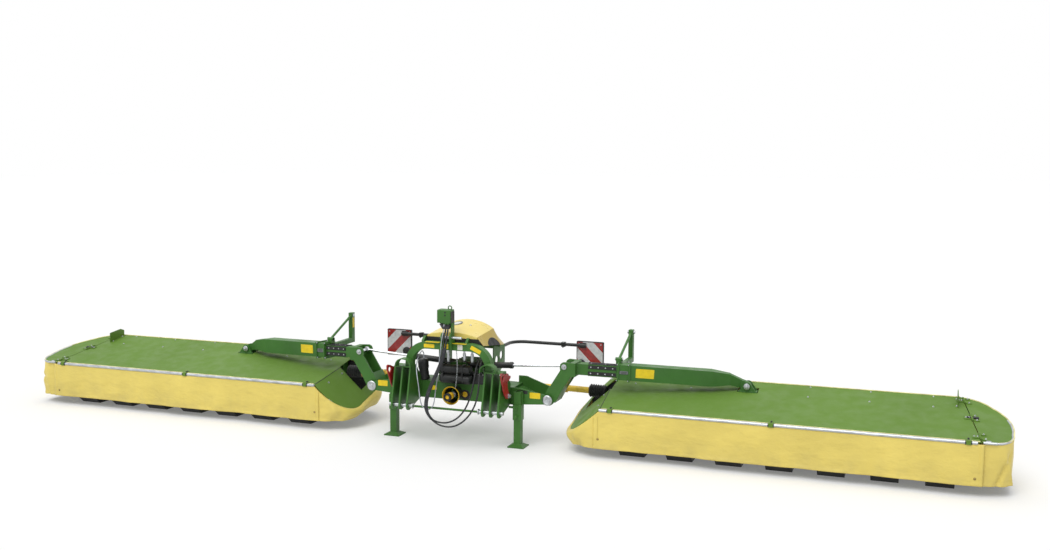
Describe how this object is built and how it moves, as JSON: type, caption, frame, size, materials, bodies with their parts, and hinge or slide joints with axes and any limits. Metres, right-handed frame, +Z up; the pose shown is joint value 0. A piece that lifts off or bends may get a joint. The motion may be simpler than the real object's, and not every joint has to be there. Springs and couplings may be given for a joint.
{
  "type": "disc mower combination",
  "caption": "Rear-mounted butterfly disc mower with folding wings, telescopic booms, cloth-skirted mower units, crossed folding cylinders and parking legs.",
  "frame": {"origin": "on the ground under the middle of the outer box", "axes": "+X is the machine's left, the right of a viewer who stands in front of it; +Y points away from the tractor, to the rear; +Z is up"},
  "size_m": [10.1946, 1.335, 1.376],
  "materials": {
    "dark_green_paint": "satin",
    "cover_green": "satin",
    "curtain_cloth": "matte",
    "hood_yellow": "satin",
    "guard_yellow": "satin",
    "bare_steel": "satin",
    "zinc_grey": "satin",
    "black_paint": "satin",
    "red_paint": "satin",
    "board_white": "satin",
    "disc_steel": "satin",
    "hose_rubber": "satin",
    "cable_grey": "satin"
  },
  "bodies": {
    "headstock": {"link_brackets": "dark_green_paint", "headstock_arch": "dark_green_paint", "hose_box": "dark_green_paint", "hitch_pins": "zinc_grey", "carrier_beam": "dark_green_paint", "leg_sleeves": "dark_green_paint", "lock_hooks": "red_paint", "gearbox": "dark_green_paint", "hood_supports": "dark_green_paint", "hood": "hood_yellow", "valve_block": "black_paint", "input_guard": "guard_yellow", "warning_boards": "board_white", "board_arms": "black_paint", "control_cable": "cable_grey", "pressure_hose": "hose_rubber", "return_hose": "hose_rubber"},
    "input_shaft": {"input_shaft": "bare_steel"},
    "parking_leg_right": {"parking_leg_right": "dark_green_paint"},
    "wing_right": {"wing_arm_right": "dark_green_paint"},
    "sleeve_right": {"boom_sleeve_right": "dark_green_paint"},
    "unit_right": {"unit_cover_right": "cover_green", "unit_curtain_right": "curtain_cloth", "unit_frame_right": "dark_green_paint", "cutter_bar_right": "black_paint"},
    "flap_right": {"end_flap_right": "cover_green", "flap_curtain_right": "curtain_cloth"},
    "cylinder_right": {"fold_cylinder_right": "black_paint"},
    "rod_right": {"fold_rod_right": "bare_steel"},
    "shaft_core_right": {"shaft_core_right": "bare_steel"},
    "shaft_middle_right": {"shaft_middle_right": "bare_steel"},
    "shaft_outer_right": {"shaft_outer_right": "guard_yellow"},
    "disc_1_right": {"cutter_disc_1_right": "disc_steel"},
    "disc_2_right": {"cutter_disc_2_right": "disc_steel"},
    "disc_3_right": {"cutter_disc_3_right": "disc_steel"},
    "disc_4_right": {"cutter_disc_4_right": "disc_steel"},
    "disc_5_right": {"cutter_disc_5_right": "disc_steel"},
    "disc_6_right": {"cutter_disc_6_right": "disc_steel"},
    "disc_7_right": {"cutter_disc_7_right": "disc_steel"},
    "parking_leg_left": {"parking_leg_left": "dark_green_paint"},
    "wing_left": {"wing_arm_left": "dark_green_paint"},
    "sleeve_left": {"boom_sleeve_left": "dark_green_paint"},
    "unit_left": {"unit_cover_left": "cover_green", "unit_curtain_left": "curtain_cloth", "unit_frame_left": "dark_green_paint", "cutter_bar_left": "black_paint"},
    "flap_left": {"end_flap_left": "cover_green", "flap_curtain_left": "curtain_cloth"},
    "cylinder_left": {"fold_cylinder_left": "black_paint"},
    "rod_left": {"fold_rod_left": "bare_steel"},
    "shaft_core_left": {"shaft_core_left": "bare_steel"},
    "shaft_middle_left": {"shaft_middle_left": "bare_steel"},
    "shaft_outer_left": {"shaft_outer_left": "guard_yellow"},
    "disc_1_left": {"cutter_disc_1_left": "disc_steel"},
    "disc_2_left": {"cutter_disc_2_left": "disc_steel"},
    "disc_3_left": {"cutter_disc_3_left": "disc_steel"},
    "disc_4_left": {"cutter_disc_4_left": "disc_steel"},
    "disc_5_left": {"cutter_disc_5_left": "disc_steel"},
    "disc_6_left": {"cutter_disc_6_left": "disc_steel"},
    "disc_7_left": {"cutter_disc_7_left": "disc_steel"}
  },
  "joints": [
    {"name": "input_shaft_spin", "type": "hinge", "parent": "headstock", "child": "input_shaft", "pos_m": [0, -0.4075, 0.474], "axis": [0, 1, 0], "continuous": true},
    {"name": "parking_leg_slide_right", "type": "slide", "parent": "headstock", "child": "parking_leg_right", "axis": [0, 0, 1], "range_m": [0, 0.225]},
    {"name": "wing_fold_right", "type": "hinge", "parent": "headstock", "child": "wing_right", "pos_m": [0.949, -0.1845, 0.472], "axis": [0, -1, 0], "range_deg": [-4, 90]},
    {"name": "boom_telescope_right", "type": "slide", "parent": "wing_right", "child": "sleeve_right", "axis": [0.9693, 0.2417, -0.0454], "range_m": [-0.3, 0]},
    {"name": "unit_tilt_right", "type": "hinge", "parent": "sleeve_right", "child": "unit_right", "pos_m": [2.781, 0.227, 0.654], "axis": [0, 1, 0], "range_deg": [-12, 3]},
    {"name": "end_flap_right", "type": "hinge", "parent": "unit_right", "child": "flap_right", "pos_m": [4.76524, -0.0195, 0.57113], "axis": [0.1484, -0.9699, -0.193], "range_deg": [0, 95]},
    {"name": "fold_cylinder_swing_right", "type": "hinge", "parent": "headstock", "child": "cylinder_right", "pos_m": [-0.06, -0.2295, 0.735], "axis": [0, -1, 0], "range_deg": [-12, 1]},
    {"name": "fold_rod_slide_right", "type": "slide", "parent": "cylinder_right", "child": "rod_right", "axis": [0.9981, 0, 0.0608], "range_m": [-0.49, 0.025]},
    {"name": "drive_shaft_swing_right", "type": "hinge", "parent": "headstock", "child": "shaft_core_right", "pos_m": [0.215, 0.1125, 0.525], "axis": [0, -1, 0], "range_deg": [-2, 35]},
    {"name": "drive_shaft_reach_right", "type": "slide", "parent": "shaft_core_right", "child": "shaft_middle_right", "axis": [0.9994, -0.0322, -0.0081], "range_m": [-0.43, 0.02]},
    {"name": "drive_shaft_telescope_right", "type": "slide", "parent": "shaft_middle_right", "child": "shaft_outer_right", "axis": [0.9994, -0.0322, -0.0081], "range_m": [-0.295, 0.001]},
    {"name": "disc_1_spin_right", "type": "hinge", "parent": "unit_right", "child": "disc_1_right", "pos_m": [1.795, -0.1825, 0.12], "axis": [0, 0, 1], "continuous": true},
    {"name": "disc_2_spin_right", "type": "hinge", "parent": "unit_right", "child": "disc_2_right", "pos_m": [2.25, -0.1825, 0.12], "axis": [0, 0, 1], "continuous": true},
    {"name": "disc_3_spin_right", "type": "hinge", "parent": "unit_right", "child": "disc_3_right", "pos_m": [2.705, -0.1825, 0.12], "axis": [0, 0, 1], "continuous": true},
    {"name": "disc_4_spin_right", "type": "hinge", "parent": "unit_right", "child": "disc_4_right", "pos_m": [3.16, -0.1825, 0.12], "axis": [0, 0, 1], "continuous": true},
    {"name": "disc_5_spin_right", "type": "hinge", "parent": "unit_right", "child": "disc_5_right", "pos_m": [3.615, -0.1825, 0.12], "axis": [0, 0, 1], "continuous": true},
    {"name": "disc_6_spin_right", "type": "hinge", "parent": "unit_right", "child": "disc_6_right", "pos_m": [4.07, -0.1825, 0.12], "axis": [0, 0, 1], "continuous": true},
    {"name": "disc_7_spin_right", "type": "hinge", "parent": "unit_right", "child": "disc_7_right", "pos_m": [4.525, -0.1825, 0.12], "axis": [0, 0, 1], "continuous": true},
    {"name": "parking_leg_slide_left", "type": "slide", "parent": "headstock", "child": "parking_leg_left", "axis": [0, 0, 1], "range_m": [0, 0.225]},
    {"name": "wing_fold_left", "type": "hinge", "parent": "headstock", "child": "wing_left", "pos_m": [-0.949, -0.1845, 0.472], "axis": [0, 1, 0], "range_deg": [-4, 90]},
    {"name": "boom_telescope_left", "type": "slide", "parent": "wing_left", "child": "sleeve_left", "axis": [-0.9693, 0.2417, -0.0454], "range_m": [-0.3, 0]},
    {"name": "unit_tilt_left", "type": "hinge", "parent": "sleeve_left", "child": "unit_left", "pos_m": [-2.781, 0.227, 0.654], "axis": [0, -1, 0], "range_deg": [-12, 3]},
    {"name": "end_flap_left", "type": "hinge", "parent": "unit_left", "child": "flap_left", "pos_m": [-4.76524, -0.0195, 0.57113], "axis": [0.1484, 0.9699, 0.193], "range_deg": [0, 95]},
    {"name": "fold_cylinder_swing_left", "type": "hinge", "parent": "headstock", "child": "cylinder_left", "pos_m": [0.06, -0.1395, 0.735], "axis": [0, 1, 0], "range_deg": [-12, 1]},
    {"name": "fold_rod_slide_left", "type": "slide", "parent": "cylinder_left", "child": "rod_left", "axis": [-0.9981, 0, 0.0608], "range_m": [-0.49, 0.025]},
    {"name": "drive_shaft_swing_left", "type": "hinge", "parent": "headstock", "child": "shaft_core_left", "pos_m": [-0.215, 0.1125, 0.525], "axis": [0, 1, 0], "range_deg": [-2, 35]},
    {"name": "drive_shaft_reach_left", "type": "slide", "parent": "shaft_core_left", "child": "shaft_middle_left", "axis": [-0.9994, -0.0322, -0.0081], "range_m": [-0.43, 0.02]},
    {"name": "drive_shaft_telescope_left", "type": "slide", "parent": "shaft_middle_left", "child": "shaft_outer_left", "axis": [-0.9994, -0.0322, -0.0081], "range_m": [-0.295, 0.001]},
    {"name": "disc_1_spin_left", "type": "hinge", "parent": "unit_left", "child": "disc_1_left", "pos_m": [-1.795, -0.1825, 0.12], "axis": [0, 0, 1], "continuous": true},
    {"name": "disc_2_spin_left", "type": "hinge", "parent": "unit_left", "child": "disc_2_left", "pos_m": [-2.25, -0.1825, 0.12], "axis": [0, 0, 1], "continuous": true},
    {"name": "disc_3_spin_left", "type": "hinge", "parent": "unit_left", "child": "disc_3_left", "pos_m": [-2.705, -0.1825, 0.12], "axis": [0, 0, 1], "continuous": true},
    {"name": "disc_4_spin_left", "type": "hinge", "parent": "unit_left", "child": "disc_4_left", "pos_m": [-3.16, -0.1825, 0.12], "axis": [0, 0, 1], "continuous": true},
    {"name": "disc_5_spin_left", "type": "hinge", "parent": "unit_left", "child": "disc_5_left", "pos_m": [-3.615, -0.1825, 0.12], "axis": [0, 0, 1], "continuous": true},
    {"name": "disc_6_spin_left", "type": "hinge", "parent": "unit_left", "child": "disc_6_left", "pos_m": [-4.07, -0.1825, 0.12], "axis": [0, 0, 1], "continuous": true},
    {"name": "disc_7_spin_left", "type": "hinge", "parent": "unit_left", "child": "disc_7_left", "pos_m": [-4.525, -0.1825, 0.12], "axis": [0, 0, 1], "continuous": true}
  ],
  "couplings": [
    {"joint": "fold_cylinder_swing_right", "follows": "wing_fold_right", "ratio": -0.125},
    {"joint": "fold_rod_slide_right", "follows": "wing_fold_right", "m_per_rad": -0.308},
    {"joint": "drive_shaft_swing_right", "follows": "wing_fold_right", "ratio": 0.385},
    {"joint": "drive_shaft_reach_right", "follows": "wing_fold_right", "m_per_rad": -0.271},
    {"joint": "drive_shaft_telescope_right", "follows": "boom_telescope_right", "ratio": 0.97},
    {"joint": "disc_2_spin_right", "follows": "disc_1_spin_right", "ratio": -1},
    {"joint": "disc_3_spin_right", "follows": "disc_1_spin_right", "ratio": 1},
    {"joint": "disc_4_spin_right", "follows": "disc_1_spin_right", "ratio": -1},
    {"joint": "disc_5_spin_right", "follows": "disc_1_spin_right", "ratio": 1},
    {"joint": "disc_6_spin_right", "follows": "disc_1_spin_right", "ratio": -1},
    {"joint": "disc_7_spin_right", "follows": "disc_1_spin_right", "ratio": 1},
    {"joint": "fold_cylinder_swing_left", "follows": "wing_fold_left", "ratio": -0.125},
    {"joint": "fold_rod_slide_left", "follows": "wing_fold_left", "m_per_rad": -0.308},
    {"joint": "drive_shaft_swing_left", "follows": "wing_fold_left", "ratio": 0.385},
    {"joint": "drive_shaft_reach_left", "follows": "wing_fold_left", "m_per_rad": -0.271},
    {"joint": "drive_shaft_telescope_left", "follows": "boom_telescope_left", "ratio": 0.97},
    {"joint": "disc_2_spin_left", "follows": "disc_1_spin_left", "ratio": -1},
    {"joint": "disc_3_spin_left", "follows": "disc_1_spin_left", "ratio": 1},
    {"joint": "disc_4_spin_left", "follows": "disc_1_spin_left", "ratio": -1},
    {"joint": "disc_5_spin_left", "follows": "disc_1_spin_left", "ratio": 1},
    {"joint": "disc_6_spin_left", "follows": "disc_1_spin_left", "ratio": -1},
    {"joint": "disc_7_spin_left", "follows": "disc_1_spin_left", "ratio": 1}
  ]
}
